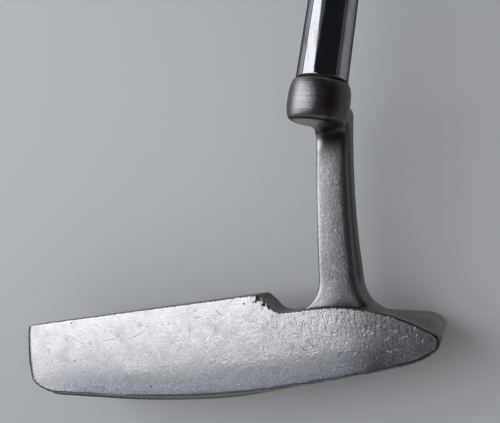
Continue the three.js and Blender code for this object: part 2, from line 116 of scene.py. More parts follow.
def read(items, field, width, kind=np.float32):
    """One field of a mesh's points or edges, as an array with a row for each."""
    values = np.empty(len(items) * width, kind)
    items.foreach_get(field, values)
    return values.reshape(-1, width)


def points_of(mesh):
    return read(mesh.vertices, "co", 3).astype(float)


def normals_of(mesh):
    return read(mesh.vertex_normals, "vector", 3).astype(float)


def edges_of(mesh):
    """The two points of each edge, by their numbers."""
    return read(mesh.edges, "vertices", 2, np.int32)


def set_points(mesh, points):
    mesh.vertices.foreach_set("co", points.astype(np.float32).ravel())
    mesh.update()


def neighbour_mean(values, edges):
    """The mean of what each point's neighbours hold."""
    first, second = edges.T
    size = len(values)
    count = np.bincount(edges.ravel(), minlength=size)
    columns = values.reshape(size, -1).T
    total = [np.bincount(first, column[second], size) + np.bincount(second, column[first], size)
             for column in columns]
    return (np.array(total) / count).T.reshape(values.shape)


def blurred(values, edges, passes):
    """Gives each point its neighbours' mean, pass after pass."""
    for _ in range(passes):
        values = neighbour_mean(values, edges)
    return values


def grown(chosen, edges, passes):
    """Chooses each chosen point's neighbours too, pass after pass: 1 where chosen, else 0."""
    chosen = chosen.astype(float)
    for _ in range(passes):
        chosen = np.maximum(chosen, neighbour_mean(chosen, edges) > 0)
    return chosen


def relaxed(points, edges, passes):
    """Smooth without shrinking: each pass draws a point half way to the mean of its neighbours,
    then pushes it back out by slightly more."""
    for _ in range(passes):
        for pull in (0.5, -0.53):
            points = points + pull * (neighbour_mean(points, edges) - points)
    return points


def smoothstep(low, high, value):
    """0 below low, 1 above high, and between them the curve 3t^2 - 2t^3."""
    share = np.clip((value - low) / (high - low), 0, 1)
    return share * share * (3 - 2 * share)


def near(points, middle, inner, outer):
    """1 within the inner distance of a place, fading to 0 at the outer."""
    return smoothstep(outer, inner, np.linalg.norm(points - middle, axis=1))


def lumps(points, pitch, seed):
    """Smooth noise from -1 to 1: random values on a lattice of the given pitch, blended between
    the eight lattice corners round each point."""
    cell = np.floor(points / pitch).astype(int)
    share = smoothstep(0, 1, points / pitch - cell)
    cell -= cell.min(0)
    lattice = np.random.default_rng(seed).uniform(-1, 1, cell.max(0) + 2)
    total = np.zeros(len(points))
    for corner in np.ndindex(2, 2, 2):
        weight = np.where(corner, share, 1 - share).prod(1)
        total += weight * lattice[tuple((cell + corner).T)]
    return total


def nearest_on(target_mesh, mesh):
    """For each point of a mesh, the nearest place on the surface of another."""
    target, carrier = placed("target", target_mesh), placed("carrier", mesh)
    snap = carrier.modifiers.new("snap", "SHRINKWRAP")
    snap.target = target
    graph = bpy.context.evaluated_depsgraph_get()
    places = points_of(carrier.evaluated_get(graph).data)
    bpy.data.objects.remove(carrier)
    bpy.data.objects.remove(target)
    return places


def cut_finer(mesh, chosen, cuts):
    """Cuts each edge whose two points are both chosen, and the quads between them."""
    finer = bmesh.new()
    finer.from_mesh(mesh)
    finer.edges.ensure_lookup_table()
    both = chosen[edges_of(mesh)].all(1)
    bmesh.ops.subdivide_edges(finer, edges=[finer.edges[i] for i in np.flatnonzero(both)],
                              cuts=cuts, use_grid_fill=True)
    finer.to_mesh(mesh)
    finer.free()


def least_in_slots(places, values, chosen, first, count, most):
    """Sorts places into slots 1 mm long, counted from the first. Gives each point's slot, and for
    every slot the least of its chosen points' values, or the most where none is less."""
    slots = np.clip(((places - first) / mm).astype(int), 0, count - 1)
    least = np.full(count, most)
    np.minimum.at(least, slots[chosen], values[chosen])
    return slots, least


def add_attribute(mesh, name, values):
    """Stores a number, or a colour, at each point of a mesh, for its material to read."""
    kind, field = ("FLOAT", "value") if values.ndim == 1 else ("FLOAT_COLOR", "color")
    attribute = mesh.attributes.new(name, kind, "POINT")
    attribute.data.foreach_set(field, values.astype(np.float32).ravel())


def linear(code):
    """An sRGB hex colour as the linear colour that a socket takes."""
    shares = [int(code[i:i + 2], 16) / 255 for i in (1, 3, 5)]
    return [s / 12.92 if s <= 0.04045 else ((s + 0.055) / 1.055) ** 2.4 for s in shares] + [1]


# The stick's own axes: up the shaft, away from the thumb flat, and towards the head's back
shaft_points = points_of(frame["nodes"]["shaft"].data)
along = np.array(mounts["cap_end"]["axis"])
across = -np.array(mounts["thumb_flat"]["axis"])
across -= along * (across @ along)
across /= np.linalg.norm(across)
rearward = np.cross(along, across)
shaft_foot = 0.55 * mm
axis_middle = shaft_points.mean(0)
foot_distance = ((shaft_points - axis_middle) @ along).min()
seat = axis_middle + along * (foot_distance - shaft_foot)

to_heel = np.array((1, 0, 0))
face_up = np.cross(face_out, to_heel)

head_low, head_high = (np.array(corner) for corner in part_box("head"))
sole, blade_top = head_low[1], 29 * mm


def on_blade(points):
    """Which points lie below the foot of the neck."""
    return points[:, 1] < sole + blade_top


head_mesh = wrapped(merged_copy("head"), skin_pitch)
head_edges = edges_of(head_mesh)
head_points = relaxed(points_of(head_mesh), head_edges, relax_passes)

# Under the barrel the neck's front and left side run into its flat foot through a soft hollow:
# the corner is filled by drawing its points to their neighbours, never into the metal.
hollow_passes = 160
under_barrel = seat - 11 * mm * along + 1.5 * mm * across + 4.5 * mm * rearward
hollow = near(head_points, under_barrel, 5 * mm, 10 * mm)
hollow *=smoothstep(-9.5 * mm, -10 * mm, (head_points - seat) @ along)
set_points(head_mesh, head_points)
head_normals = normals_of(head_mesh)
for _ in range(hollow_passes):
    step = neighbour_mean(head_points, head_edges) - head_points
    fills = (step * head_normals).sum(1) > 0
    head_points += 0.5 * (hollow * fills)[:, None] * step
set_points(head_mesh, head_points)

# The rim of the face, where the dings are, gets a finer skin than the rest. A wider band of it is
# then laid back on the casting's sharp edge, and fades into the relaxed skin round it.
band_growth, band_fade = 6, 3
facing = normals_of(head_mesh) @ face_out
from_face = head_points - face_middle
rim = (facing > 0.2) & (facing < 0.92) & (from_face @ face_out > -0.6 * mm)
rim &= (from_face @ face_up > -9 * mm) & on_blade(head_points)
cut_finer(head_mesh, grown(rim, head_edges, edge_growth) > 0, edge_cuts)
head_edges = edges_of(head_mesh)
head_points = points_of(head_mesh)
snapped = nearest_on(merged_copy("head"), head_mesh)
facing = normals_of(head_mesh) @ face_out
band = (facing > 0.2) & (facing < 0.98) & ((head_points - face_middle) @ face_out > -1.2 * mm)
band = grown(band & on_blade(head_points), head_edges, band_growth)
band = blurred(band, head_edges, band_fade)
head_points += band[:, None] * (snapped - head_points)

# Each point's place from the middle of the face: towards the heel, up along the face and out of
# it. What lies within a tenth of a millimetre of its plane is its front.
from_face = head_points - face_middle
heelward, face_climb, face_height = from_face[:, 0], from_face @ face_up, from_face @ face_out
in_front = face_height > -0.1 * mm

# The foot of the face rolls back towards the sole: a parabola over its last few millimetres, whose
# start wanders up and down. The body behind it keeps above the edge near the heel.
roll_height, roll_depth, roll_reach = 8 * mm, 0.23 * mm, 9 * mm
most_drawn_in, drawing_fade, smoothed_slots = 1.6 * mm, 12, 7
slots, lowest = least_in_slots(heelward, head_points[:, 1] - sole, in_front,
                               first=-60 * mm, count=120, most=14 * mm)
lowest = np.convolve(np.pad(lowest, smoothed_slots // 2, "edge"),
                     np.full(smoothed_slots, 1 / smoothed_slots), "valid")
above_edge = head_points[:, 1] - sole - lowest[slots]
wander = 1 + 0.15 * lumps(from_face, 11 * mm, 5)
rolled = np.clip(1 - above_edge / (roll_height * wander), 0, 1.2) ** 2
rolled *= smoothstep(53 * mm, 42 * mm, heelward)
rolled *= smoothstep(-roll_reach, 0, face_height) * smoothstep(-58 * mm, -36 * mm, heelward)
head_points -= np.outer(rolled * roll_depth, face_out)
drawn_in = np.clip(-above_edge - 0.2 * mm, 0, most_drawn_in) * smoothstep(0, 30 * mm, heelward)
drawn_in *= smoothstep(-0.3 * mm, -1.2 * mm, face_height)
head_points[:, 1] += blurred(drawn_in, head_edges, drawing_fade)

# The toe's end stands nearly upright, down to a tight lower corner. Its points move outwards by
# these shifts, at these heights over the middle of the face.
toe_heights = np.array([-6, -5, -4, -3, -2, -1, 0, 1, 2, 5, 6.5, 8, 10, 12]) * mm
toe_shifts = np.array([0, 0.4, 0.9, 1.1, 1.1, 0.85, 0.5, 0.22, 0.06, 0, 0.12, 0.35, 0.6, 0.75]) * mm
outward = np.interp(face_climb, toe_heights, toe_shifts)
head_points[:, 0] -= outward * smoothstep(-44 * mm, -55 * mm, heelward)

# The side of the notch leans towards the heel as it goes back.
notch_lean = 1.9 * mm
leaning = smoothstep(0, -8 * mm, face_height) * smoothstep(11 * mm, 15 * mm, heelward)
leaning *= smoothstep(27 * mm, 20 * mm, heelward) * on_blade(head_points)
leaning *= smoothstep(5 * mm, 9 * mm, face_climb)
head_points[:, 0] += notch_lean * leaning

# Dings, as balls pressed into the rim: [towards the heel, up, out of the face, radius] in mm from
# the middle of the face. A point inside a ball goes out to the ball's surface.
dings = [
    [15.35, 12.3, 0.35, 1.0], [14.6, 11.55, 0.3, 0.62], [14.05, 11.0, 0.25, 0.4],
    [16.8, 10.75, 0.3, 0.72], [16.3, 10.5, 0.3, 0.5], [18.05, 9.75, 0.25, 0.68], [17.6, 9.5, 0.2, 0.42],
    [19.3, 8.95, 0.25, 0.52], [20.3, 8.45, 0.2, 0.4], [12.6, 13.6, 0.3, 0.4], [11.0, 13.9, 0.3, 0.3],
    [-37.2, 17.6, 0.3, 0.6], [-24.6, 17.4, 0.3, 0.55], [-12.0, 17.4, 0.3, 0.6], [3.4, 16.6, 0.3, 0.6],
    [-48.5, 17.1, 0.3, 0.5], [26.4, 8.4, 0.3, 0.45], [33.0, 8.6, 0.35, 0.5], [41.2, 6.0, 0.3, 0.5],
]
for aside, up, out, ball in np.array(dings) * mm:
    middle = face_middle + aside * to_heel + up * face_up + out * face_out
    from_middle = head_points - middle
    distance = np.linalg.norm(from_middle, axis=1)
    inside = distance < ball
    head_points[inside] = middle + from_middle[inside] / distance[inside, None] * ball
set_points(head_mesh, head_points)

# Small burrs and nicks along the rim, twice as high at the notch, a fine groove round the foot of
# the barrel, and a casting that is nowhere quite flat
burr, groove_depth = 0.06 * mm, 0.1 * mm
facing = normals_of(head_mesh) @ face_out
on_rim = (facing > 0.25) & (facing < 0.93) & (face_height > -0.5 * mm)
on_rim = (on_rim & on_blade(head_points)).astype(float)
on_rim = np.maximum(on_rim, neighbour_mean(on_rim, head_edges))
rough_edge = lumps(head_points, 0.8 * mm, 3) + 0.7 * lumps(head_points, 0.4 * mm, 4)
notch_corner = 17 * mm * to_heel + 10.5 * mm * face_up
at_notch = near(from_face, notch_corner, 1.5 * mm, 3.4 * mm)
waves = lumps(head_points, 5 * mm, 1) * 0.012 * mm + lumps(head_points, 1.7 * mm, 2) * 0.006 * mm
from_seat = head_points - seat
climb, off_flat = from_seat @ along, from_seat @ across
off_axis = np.linalg.norm(from_seat - np.outer(climb, along), axis=1)
groove = smoothstep(0.36 * mm, 0.08 * mm, np.abs(climb + 9.75 * mm))
groove *= smoothstep(5 * mm, 6 * mm, off_axis)
groove *= smoothstep(6 * mm, 2 * mm, from_seat @ rearward) * ~on_blade(head_points)
head_normals = normals_of(head_mesh)
head_points += head_normals * (on_rim * rough_edge * burr * (1 + at_notch)
                               + waves - groove * groove_depth)[:, None]
head_points = np.clip(head_points, head_low, head_high)
rim_band = neighbour_mean(on_rim, head_edges)
set_points(head_mesh, head_points)
head_normals = normals_of(head_mesh)
sideways = head_normals[:, 0]

# How much each point belongs to the face, barrel and neck, from 0 to 1. The bend is above 0 in
# hollows and below 0 on edges.
bend_fade = 3
bend =((neighbour_mean(head_points, head_edges) - head_points) * head_normals).sum(1) / skin_pitch
bend = blurred(bend, head_edges, bend_fade)
above_sole = head_points[:, 1] - sole
front = smoothstep(0.5, 0.8, facing)
on_face = smoothstep(-0.9 * mm, -0.5 * mm, face_height) * front
on_face *= smoothstep(blade_top, blade_top - 1.5 * mm, above_sole)
on_barrel = smoothstep(8.6 * mm, 8 * mm, off_axis) * smoothstep(-10.6 * mm, -9.6 * mm, climb)
on_neck = smoothstep(20 * mm, 23 * mm, above_sole) * (1 - on_face) * (1 - on_barrel)
on_neck *= smoothstep(22 * mm, 26 * mm, heelward) * smoothstep(0.55, 0.8, facing)

# On the face: file marks towards the heel, the rolled foot, the heel end, painted darker as
# shade, and less bite towards the toe
tooled = on_face * smoothstep(4 * mm, 20 * mm, heelward)
tooled *= 0.35 + 0.65 * smoothstep(-4 * mm, 6 * mm, face_climb)
tooled *= 0.75 + 0.25 * lumps(head_points, 4 * mm, 7)
foot = np.clip(rolled * 2.2, 0, 1)
heel_end = on_face * smoothstep(31 * mm, 45 * mm, heelward)
battered = 1 - 0.55 * on_face * smoothstep(5 * mm, -40 * mm, heelward)

# Round the face: its worn edge, with a painted highlight on its upper side and painted shade
# on its lower, the shade on its rim at heel and toe, and the lip of the sole
edge = np.clip(-bend * 3 - 0.1, 0, 1) * (above_sole < blade_top)
edge *= smoothstep(-0.6 * mm, -0.25 * mm, face_height) + (heelward < 12 * mm)
upper_edge = smoothstep(-0.1, 0.3, head_normals @ face_up)
levels, toe_line = least_in_slots(face_climb, heelward, in_front,
                                  first=-20 * mm, count=40, most=0.0)
at_toe = smoothstep(1.3 * mm, 0.4 * mm, heelward - toe_line[levels])
at_toe *= smoothstep(-48 * mm, -53 * mm, heelward) * smoothstep(-1.6 * mm, -0.8 * mm, face_height)
rim_shade = np.maximum(rim_band * smoothstep(42 * mm, 50 * mm, heelward) * upper_edge, at_toe)
lip = smoothstep(2.2 * mm, 0.4 * mm, above_edge) * (1 - on_face)
lip *= smoothstep(-2.4 * mm, -1 * mm, face_height)
toeward = smoothstep(-5 * mm, -30 * mm, heelward)

# On barrel and neck: rust under the joint, a brown tarnish with painted shade over it on the
# barrel's two sides, the shade in the hollow, painted shade on the neck's flanks, and a band of
# painted shade down the middle of its bowed front
near_joint = smoothstep(-3.2 * mm, -0.6 * mm, climb) * on_barrel * smoothstep(-1 * mm, 4 * mm, off_flat)
rust_middle = seat - 6 * mm * along + 4.6 * mm * across - 6.5 * mm * rearward
rusty = near(head_points, rust_middle, 1 * mm, 4 * mm)
tarnish_and_shade = on_barrel * np.maximum(smoothstep(2.5 * mm, 4.5 * mm, off_flat),
                                   smoothstep(-4.1 * mm, -5.8 * mm, off_flat))
shaded = near(head_points, under_barrel, 3 * mm, 9 * mm)
shaded *= smoothstep(-0.5 * mm, 1 * mm, off_flat) * smoothstep(-10 * mm, -10.5 * mm, climb)
flank = smoothstep(24 * mm, 28 * mm, above_sole) * (1 - on_barrel) * (1 - shaded)
right_flank_shade = flank * smoothstep(0.75, 0.5, facing) * smoothstep(0.2, 0.5, sideways)
left_flank_shade = flank * smoothstep(-0.5, -0.85, sideways)
front_shade_band = on_neck * smoothstep(-0.26, -0.12, sideways) * smoothstep(0.14, -0.02, sideways)

# Each finish covers the ones before it by its share, with a colour and a roughness.
finishes = [
    # The face's own tone. On its rolled foot, a cool blue tint that is a painted reflection of the
    # window's bluish light.
    (on_face, "#c9c8c8", 0.25), (on_face * foot, "#ccd1da", 0.36),
    # Painted shade: the heel end of the face, and the side wall of the notch.
    (heel_end * 0.9, "#85858a", 0.3), (leaning, "#6a6964", 0.4),
    # The neck's tone, then painted shade on its two flanks and down the middle of its front.
    (on_neck, "#bbbbbd", 0.38), (right_flank_shade * 0.8, "#4c4a46", 0.42),
    (left_flank_shade * 0.5, "#77767a", 0.42), (front_shade_band * 0.35, "#77767a", 0.42),
    # The barrel's tone, then on its two sides a brown tarnish and painted shade that narrows the
    # window's reflection.
    (on_barrel, "#9a9a9b", 0.31), (tarnish_and_shade * 0.85, "#45413b", 0.36),
    # Rust, the shade in the hollow, and painted shade in the groove round the barrel's foot.
    (rusty * 0.6, "#5e443f", 0.4), (shaded, "#4b4a47", 0.42), (groove, "#34312d", 0.5),
    # Edges facing up the face are lighter, partly from wear and partly as a painted highlight. Edges
    # facing down are painted shade.
    (edge * upper_edge, "#d3d2ce", 0.4), (edge * (1 - upper_edge), "#5a544b", 0.5),
    # The sole's lip, tinted warm as a painted reflection and darker towards the toe as painted shade,
    # and the shade on the rim.
    (lip, "#857c6d", 0.5), (lip * toeward, "#4c4844", 0.5), (rim_shade, "#474350", 0.5),
    # Hollows, darkened partly as grime and partly as painted shade.
    (np.clip(bend * 5 - 0.15, 0, 1), "#3b372f", 0.6),
]
tone = np.tile(linear("#7c7b76"), (len(head_points), 1))
polish = np.full(len(head_points), 0.36)
for share, colour, roughness in finishes:
    tone += share[:, None] * (linear(colour) - tone)
    polish += share * (roughness - polish)
for name, values in {
        "tone": tone, "polish": polish, "face": on_face, "neck": on_neck,
        "filed": np.maximum(tooled, on_neck * 0.2),
        "front": front * (1 - on_barrel) * (1 - shaded),
        "sides": smoothstep(0.8, 0.5, facing) * on_blade(head_points),
        "glint": 0.3 + 0.5 * on_neck + 0.9 * on_face * np.maximum(foot, heel_end),
        "battered": battered, "near_joint": near_joint, "barrel": on_barrel,
        "climb_mm": climb / mm}.items():
    add_attribute(head_mesh, name, values)
head_mesh.shade_smooth()


def feed(tree, node, inputs):
    """Gives a node's sockets their values, or links from other nodes' outputs."""
    for socket, value in inputs.items():
        if isinstance(value, bpy.types.NodeSocket):
            tree.links.new(value, node.inputs[socket])
        else:
            node.inputs[socket].default_value = value


def add(tree, kind, inputs=None, **settings):
    """Adds a node. Its settings are its own properties, and the inputs feed its sockets."""
    node = tree.nodes.new("ShaderNode" + kind)
    for name, value in settings.items():
        setattr(node, name, value)
    feed(tree, node, inputs or {})
    return node


def new_material(name):
    """An empty material: its node tree, with an output and a Principled shader joined to it."""
    material = bpy.data.materials.new(name)
    material.use_nodes = True
    tree = material.node_tree
    tree.nodes.clear()
    shader = add(tree, "BsdfPrincipled")
    add(tree, "OutputMaterial", {"Surface": shader.outputs[0]})
    return material, tree, shader


def in_mm(tree, stretch=(1, 1, 1)):
    """The place on the piece, in millimetres, with each axis divided by its stretch."""
    place = add(tree, "TexCoord").outputs["Object"]
    scale = [1 / (mm * times) for times in stretch]
    return add(tree, "VectorMath", {0: place, 1: scale}, operation="MULTIPLY").outputs[0]


def scratches(tree, place, pitch, length, width, lean, fan, share):
    """Scratches seen from above, one in a share of the cells of a flat Voronoi pattern: 1 along a
    scratch's middle, 0 beside it. Each is bowed, and turned off the lean by up to the fan, in
    degrees. Pitch, length and width are in mm."""
    cell = add(tree, "TexVoronoi", {"Vector": place, "Scale": 1 / pitch}, voronoi_dimensions="2D")
    dice = add(tree, "SeparateColor", {0: cell.outputs["Color"]})
    turn = add(tree, "MapRange", {"Value": dice.outputs[0], "To Min": math.radians(lean - fan),
                                  "To Max": math.radians(lean + fan)})
    apart = add(tree, "VectorMath", {0: place, 1: cell.outputs["Position"]}, operation="SUBTRACT")
    turned = add(tree, "VectorRotate", {"Vector": apart.outputs[0], "Angle": turn.outputs[0]},
                 rotation_type="Z_AXIS")
    split = add(tree, "SeparateXYZ", {0: turned.outputs[0]})
    way = split.outputs["Y"]
    bow = add(tree, "Math", {0: way, 1: way}, operation="MULTIPLY").outputs[0]
    aside = add(tree, "Math", {0: bow, 1: 0.2 / length, 2: split.outputs["X"]},
                operation="MULTIPLY_ADD").outputs[0]
    aside = add(tree, "Math", {0: aside}, operation="ABSOLUTE").outputs[0]
    way = add(tree, "Math", {0: way}, operation="ABSOLUTE").outputs[0]
    cut = add(tree, "MapRange", {"Value": aside, "From Min": width / 2, "From Max": 0.0}).outputs[0]
    run = add(tree, "MapRange", {"Value": way, "From Min": length / 2,
                                 "From Max": length / 5}).outputs[0]
    kept = add(tree, "Math", {0: dice.outputs[1], 1: share}, operation="LESS_THAN").outputs[0]
    drawn = add(tree, "Math", {0: cut, 1: run}, operation="MULTIPLY").outputs[0]
    return add(tree, "Math", {0: drawn, 1: kept}, operation="MULTIPLY").outputs[0]


def spots(tree, place, pitch, radius, share):
    """Soft round spots seen from above, one in a share of the cells of a flat Voronoi pattern: 1 in
    a spot's middle, 0 outside its radius. Pitch and radius are in mm."""
    cell = add(tree, "TexVoronoi", {"Vector": place, "Scale": 1 / pitch}, voronoi_dimensions="2D")
    chance = add(tree, "SeparateColor", {0: cell.outputs["Color"]}).outputs[0]
    kept = add(tree, "Math", {0: chance, 1: share}, operation="LESS_THAN").outputs[0]
    spot = add(tree, "MapRange", {"Value": cell.outputs["Distance"], "From Min": radius / pitch,
                                  "From Max": radius / pitch / 2}).outputs[0]
    return add(tree, "Math", {0: spot, 1: kept}, operation="MULTIPLY").outputs[0]


def worn_cast_steel():
    """Satin cast stainless steel. Fine grain and hairline scratches of every direction break up
    the light, upright file strokes crowd the heel and the neck, belt-sanded lines run along the
    sides, and fine lines circle the barrel. Smudges and pits darken the face, and rust has started
    in specks beside the joint."""
    material, tree, shader = new_material("satin cast stainless steel, worn")
    place = in_mm(tree)
    tone = add(tree, "Attribute", attribute_name="tone").outputs["Color"]
    polish, face, filed, neck, front, sides, barrel, climb, near_joint, battered, glinting = (
        add(tree, "Attribute", attribute_name=name).outputs["Fac"]
        for name in ("polish", "face", "filed", "neck", "front", "sides", "barrel", "climb_mm",
                     "near_joint", "battered", "glint"))

    # Dark hairlines of three lengths, bright fresh scratches and nicks, and upright file strokes
    hairline, stroke = 0.0, 0.0
    for pitch, length, share in ((9.0, 7.0, 0.3), (3.9, 3.0, 0.22), (2.3, 1.6, 0.12)):
        layer = scratches(tree, place, pitch, length, width=0.25, lean=0, fan=180, share=share)
        hairline = add(tree, "Math", {0: layer, 1: hairline}, operation="MAXIMUM").outputs[0]
    hairline = add(tree, "Math", {0: hairline, 1: front}, operation="MULTIPLY").outputs[0]
    unfiled = add(tree, "MapRange", {"Value": filed, "To Min": 1.0, "To Max": 0.35}).outputs[0]
    nick = scratches(tree, place, 1.5, 1.1, width=0.3, lean=30, fan=45, share=0.25)
    fresh = scratches(tree, place, 2.7, 2.0, width=0.3, lean=42, fan=40, share=0.3)
    fresh = add(tree, "Math", {0: fresh, 1: nick}, operation="MAXIMUM").outputs[0]
    for pitch, length, lean, fan, share in (
            (3.1, 2.6, -12, 8, 0.4), (2.2, 1.7, -8, 12, 0.4), (2.7, 2.2, -20, 10, 0.35)):
        layer = scratches(tree, place, pitch, length, width=0.45, lean=lean, fan=fan, share=share)
        stroke = add(tree, "Math", {0: layer, 1: stroke}, operation="MAXIMUM").outputs[0]

    # Grain everywhere, coarser on the neck, combed upright where it is filed, drawn out along the
    # sides and turned in rings on the barrel. Then pits, and stains with ragged outlines.
    grain = add(tree, "TexNoise", {"Vector": place, "Scale": 1.5, "Detail": 3.0}).outputs["Fac"]
    leaning = add(tree, "Mapping", {
        "Vector": in_mm(tree, (0.6, 0.85, 0.6)), "Rotation": (0, 0, math.radians(8))}).outputs[0]
    bite = add(tree, "TexNoise", {"Vector": leaning, "Scale": 1.0, "Detail": 2.0}).outputs["Fac"]
    leaning = add(tree, "Mapping", {
        "Vector": place, "Rotation": (0, 0, math.radians(10)), "Scale": (1.6, 0.35, 1.0)}).outputs[0]
    combed = add(tree, "TexNoise", {"Vector": leaning, "Scale": 1.0, "Detail": 3.0}).outputs["Fac"]
    satin = add(tree, "TexNoise", {"Vector": in_mm(tree, (5, 0.4, 0.4)), "Scale": 1.0,
                                   "Detail": 3.0}).outputs["Fac"]
    turned = add(tree, "TexNoise", {"W": climb, "Scale": 2.4, "Detail": 3.0},
                 noise_dimensions="1D").outputs["Fac"]
    pit = spots(tree, place, pitch=6.0, radius=0.28, share=0.07)
    ragged = add(tree, "TexNoise", {"Vector": place, "Scale": 0.9, "Detail": 3.0}).outputs["Color"]
    ragged = add(tree, "VectorMath", {0: ragged, 1: (2.6, 2.6, 0), 2: place}, operation="MULTIPLY_ADD")
    stain = spots(tree, ragged.outputs[0], pitch=8.5, radius=1.0, share=0.55)
    speck = add(tree, "TexNoise", {"Vector": place, "Scale": 1.5, "Detail": 2.0}).outputs["Fac"]
    speck = add(tree, "MapRange", {"Value": speck, "From Min": 0.56, "From Max": 0.64}).outputs[0]
    hairline, fresh, stroke, bite, combed, satin, turned, pit, stain, speck = (
        add(tree, "Math", {0: layer, 1: where}, operation="MULTIPLY").outputs[0]
        for layer, where in (
            (hairline, unfiled), (fresh, front), (stroke, filed), (bite, neck), (combed, filed),
            (satin, sides), (turned, barrel), (pit, face), (stain, face), (speck, near_joint)))

    relief = add(tree, "Math", {0: grain, 1: 0.5}, operation="MULTIPLY").outputs[0]
    for layer, depth in (
            (hairline, -0.5), (fresh, -0.4), (stroke, -0.7), (combed, 1.6), (bite, 1.5),
            (satin, 1.0), (turned, 2.2), (pit, -1.5)):
        relief = add(tree, "Math", {0: layer, 1: depth, 2: relief}, operation="MULTIPLY_ADD").outputs[0]
    bump = add(tree, "Bump", {"Height": relief, "Distance": 0.035 * mm, "Strength": battered})
    mottle = add(tree, "TexNoise", {"Vector": place, "Scale": 0.22, "Detail": 6.0,
                                    "Roughness": 0.62}).outputs["Fac"]
    spread = add(tree, "MapRange", {"Value": mottle, "From Min": 0.3, "From Max": 0.7,
                                    "To Min": -0.03, "To Max": 0.05}).outputs[0]
    rough = add(tree, "Math", {0: polish, 1: spread}, operation="ADD").outputs[0]

    # Over the tone lie smudges and stains, grime in scratches and pits, bright scratches, and rust.
    smudge = add(tree, "MapRange", {"Value": mottle, "From Min": 0.48, "From Max": 0.75,
                                    "To Max": 0.22}).outputs[0]
    stain = add(tree, "Math", {0: stain, 1: 0.32}, operation="MULTIPLY").outputs[0]
    smudge = add(tree, "Math", {0: smudge, 1: stain}, operation="MAXIMUM").outputs[0]
    grime = add(tree, "Math", {0: hairline, 1: 0.35}, operation="MULTIPLY").outputs[0]
    grime = add(tree, "Math", {0: grime, 1: pit}, operation="MAXIMUM").outputs[0]
    bright = add(tree, "Math", {0: fresh, 1: battered}, operation="MULTIPLY").outputs[0]
    bright = add(tree, "Math", {0: bright, 1: 0.65}, operation="MULTIPLY").outputs[0]
    shade = tone
    for share, colour in (
            (smudge, "#77777a"), (grime, "#4a4744"), (bright, "#e9e8e6"), (speck, "#6b3f2c")):
        shade = add(tree, "Mix", {0: share, 6: shade, 7: linear(colour)}, data_type="RGBA").outputs[2]

    # The crystals of the metal catch the light unevenly, and so do the rings on the barrel.
    glint = add(tree, "TexNoise", {"Vector": place, "Scale": 2.2, "Detail": 2.0}).outputs["Fac"]
    glint = add(tree, "MapRange", {"Value": glint, "From Min": 0.3, "From Max": 0.7,
                                   "To Min": -0.28, "To Max": 0.28}).outputs[0]
    glint = add(tree, "Math", {0: glint, 1: glinting, 2: 1.0}, operation="MULTIPLY_ADD").outputs[0]
    streak = add(tree, "MapRange", {"Value": turned, "From Min": 0.35, "From Max": 0.65,
                                    "To Max": 0.25}).outputs[0]
    glint = add(tree, "Math", {0: glint, 1: streak}, operation="ADD").outputs[0]
    shade = add(tree, "VectorMath", {0: shade, "Scale": glint}, operation="SCALE").outputs[0]
    feed(tree, shader, {"Base Color": shade, "Roughness": rough, "Metallic": 1,
                        "Normal": bump.outputs[0]})
    return material


def finished(name, mesh, material, node):
    """Puts a mesh in the scene as a piece that stands for a CAD node."""
    piece = placed(name, mesh)
    mesh.materials.append(material)
    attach(piece, "root")
    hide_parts(node)


finished("cast_head", head_mesh, worn_cast_steel(), "head")


# Adhesive
# Two-part epoxy that holds the shaft on the post. What was squeezed out has set as a dark,
# uneven bead on the barrel's shoulder.

tip_radius, waist_radius, flare_length = 6.35 * mm, 4.7 * mm, 95 * mm
tip_wall, shaft_wall = 0.5 * mm, 0.45 * mm
glue_gap, glue_thickness, glue_top, bead_proud = 0.1 * mm, 0.3 * mm, 19 * mm, 0.12 * mm


def grid_mesh(name, grid):
    """A closed mesh over rows of points that join round, the last row joined to the first."""
    rows, columns = grid.shape[:2]
    row, column = np.meshgrid(np.arange(rows), np.arange(columns), indexing="ij")
    next_row, next_column = (row + 1) % rows, (column + 1) % columns
    faces = np.stack([row * columns + column, row * columns + next_column,
                      next_row * columns + next_column, next_row * columns + column], -1)
    mesh = bpy.data.meshes.new(name)
    mesh.from_pydata(grid.reshape(-1, 3), [], faces.reshape(-1, 4))
    mesh.shade_smooth()
    return mesh


def on_stick(radius, height, angle):
    """Places on the stick: up its axis by height, then out by radius, at an angle round it that
    starts on the side away from the thumb flat."""
    return (seat + height[..., None] * along
            + (radius * np.cos(angle))[..., None] * across
            + (radius * np.sin(angle))[..., None] * rearward)


def turn_of(columns):
    """An angle for each column, evenly once round."""
    return np.linspace(0, 2 * math.pi, columns, endpoint=False)


def ringed(rows, columns):
    """Rings of points round the shaft's axis, from a radius and a height above its seat for each.
    A radius is one number, or one for each column."""
    angle, ones = turn_of(columns), np.ones(columns)
    return np.array([on_stick(radius * ones, height * ones, angle) for radius, height in rows])


def bore_radius(height):
    """Inside radius of the flared tip: a straight taper, less the wall."""
    return tip_radius + (waist_radius - tip_radius) * height / flare_length - tip_wall


# The bead swells and thins round the joint. The rows go up its outside and then on inside the shaft.
glue_columns, bead_foot, bead_height = 160, 0.1 * mm, 0.35 * mm
bead_angle = turn_of(glue_columns)
swell = 1 + 0.35 * np.sin(5 * bead_angle) + 0.3 * np.sin(11 * bead_angle + 1)
swell += 0.2 * np.sin(23 * bead_angle)
glue_rows = [(bore_radius(bead_foot) - glue_gap - glue_thickness, bead_foot)]
glue_rows += [(tip_radius + bead_proud * math.sin(math.pi * share) * swell,
               bead_foot + share * bead_height) for share in (0, 0.2, 0.5, 0.8, 1)]
glue_rows += [(bore_radius(height) - glue_gap - inward, height) for inward, height in (
    (0, bead_foot + bead_height), (0, glue_top), (glue_thickness, glue_top))]
glue_grid = ringed(glue_rows, glue_columns)


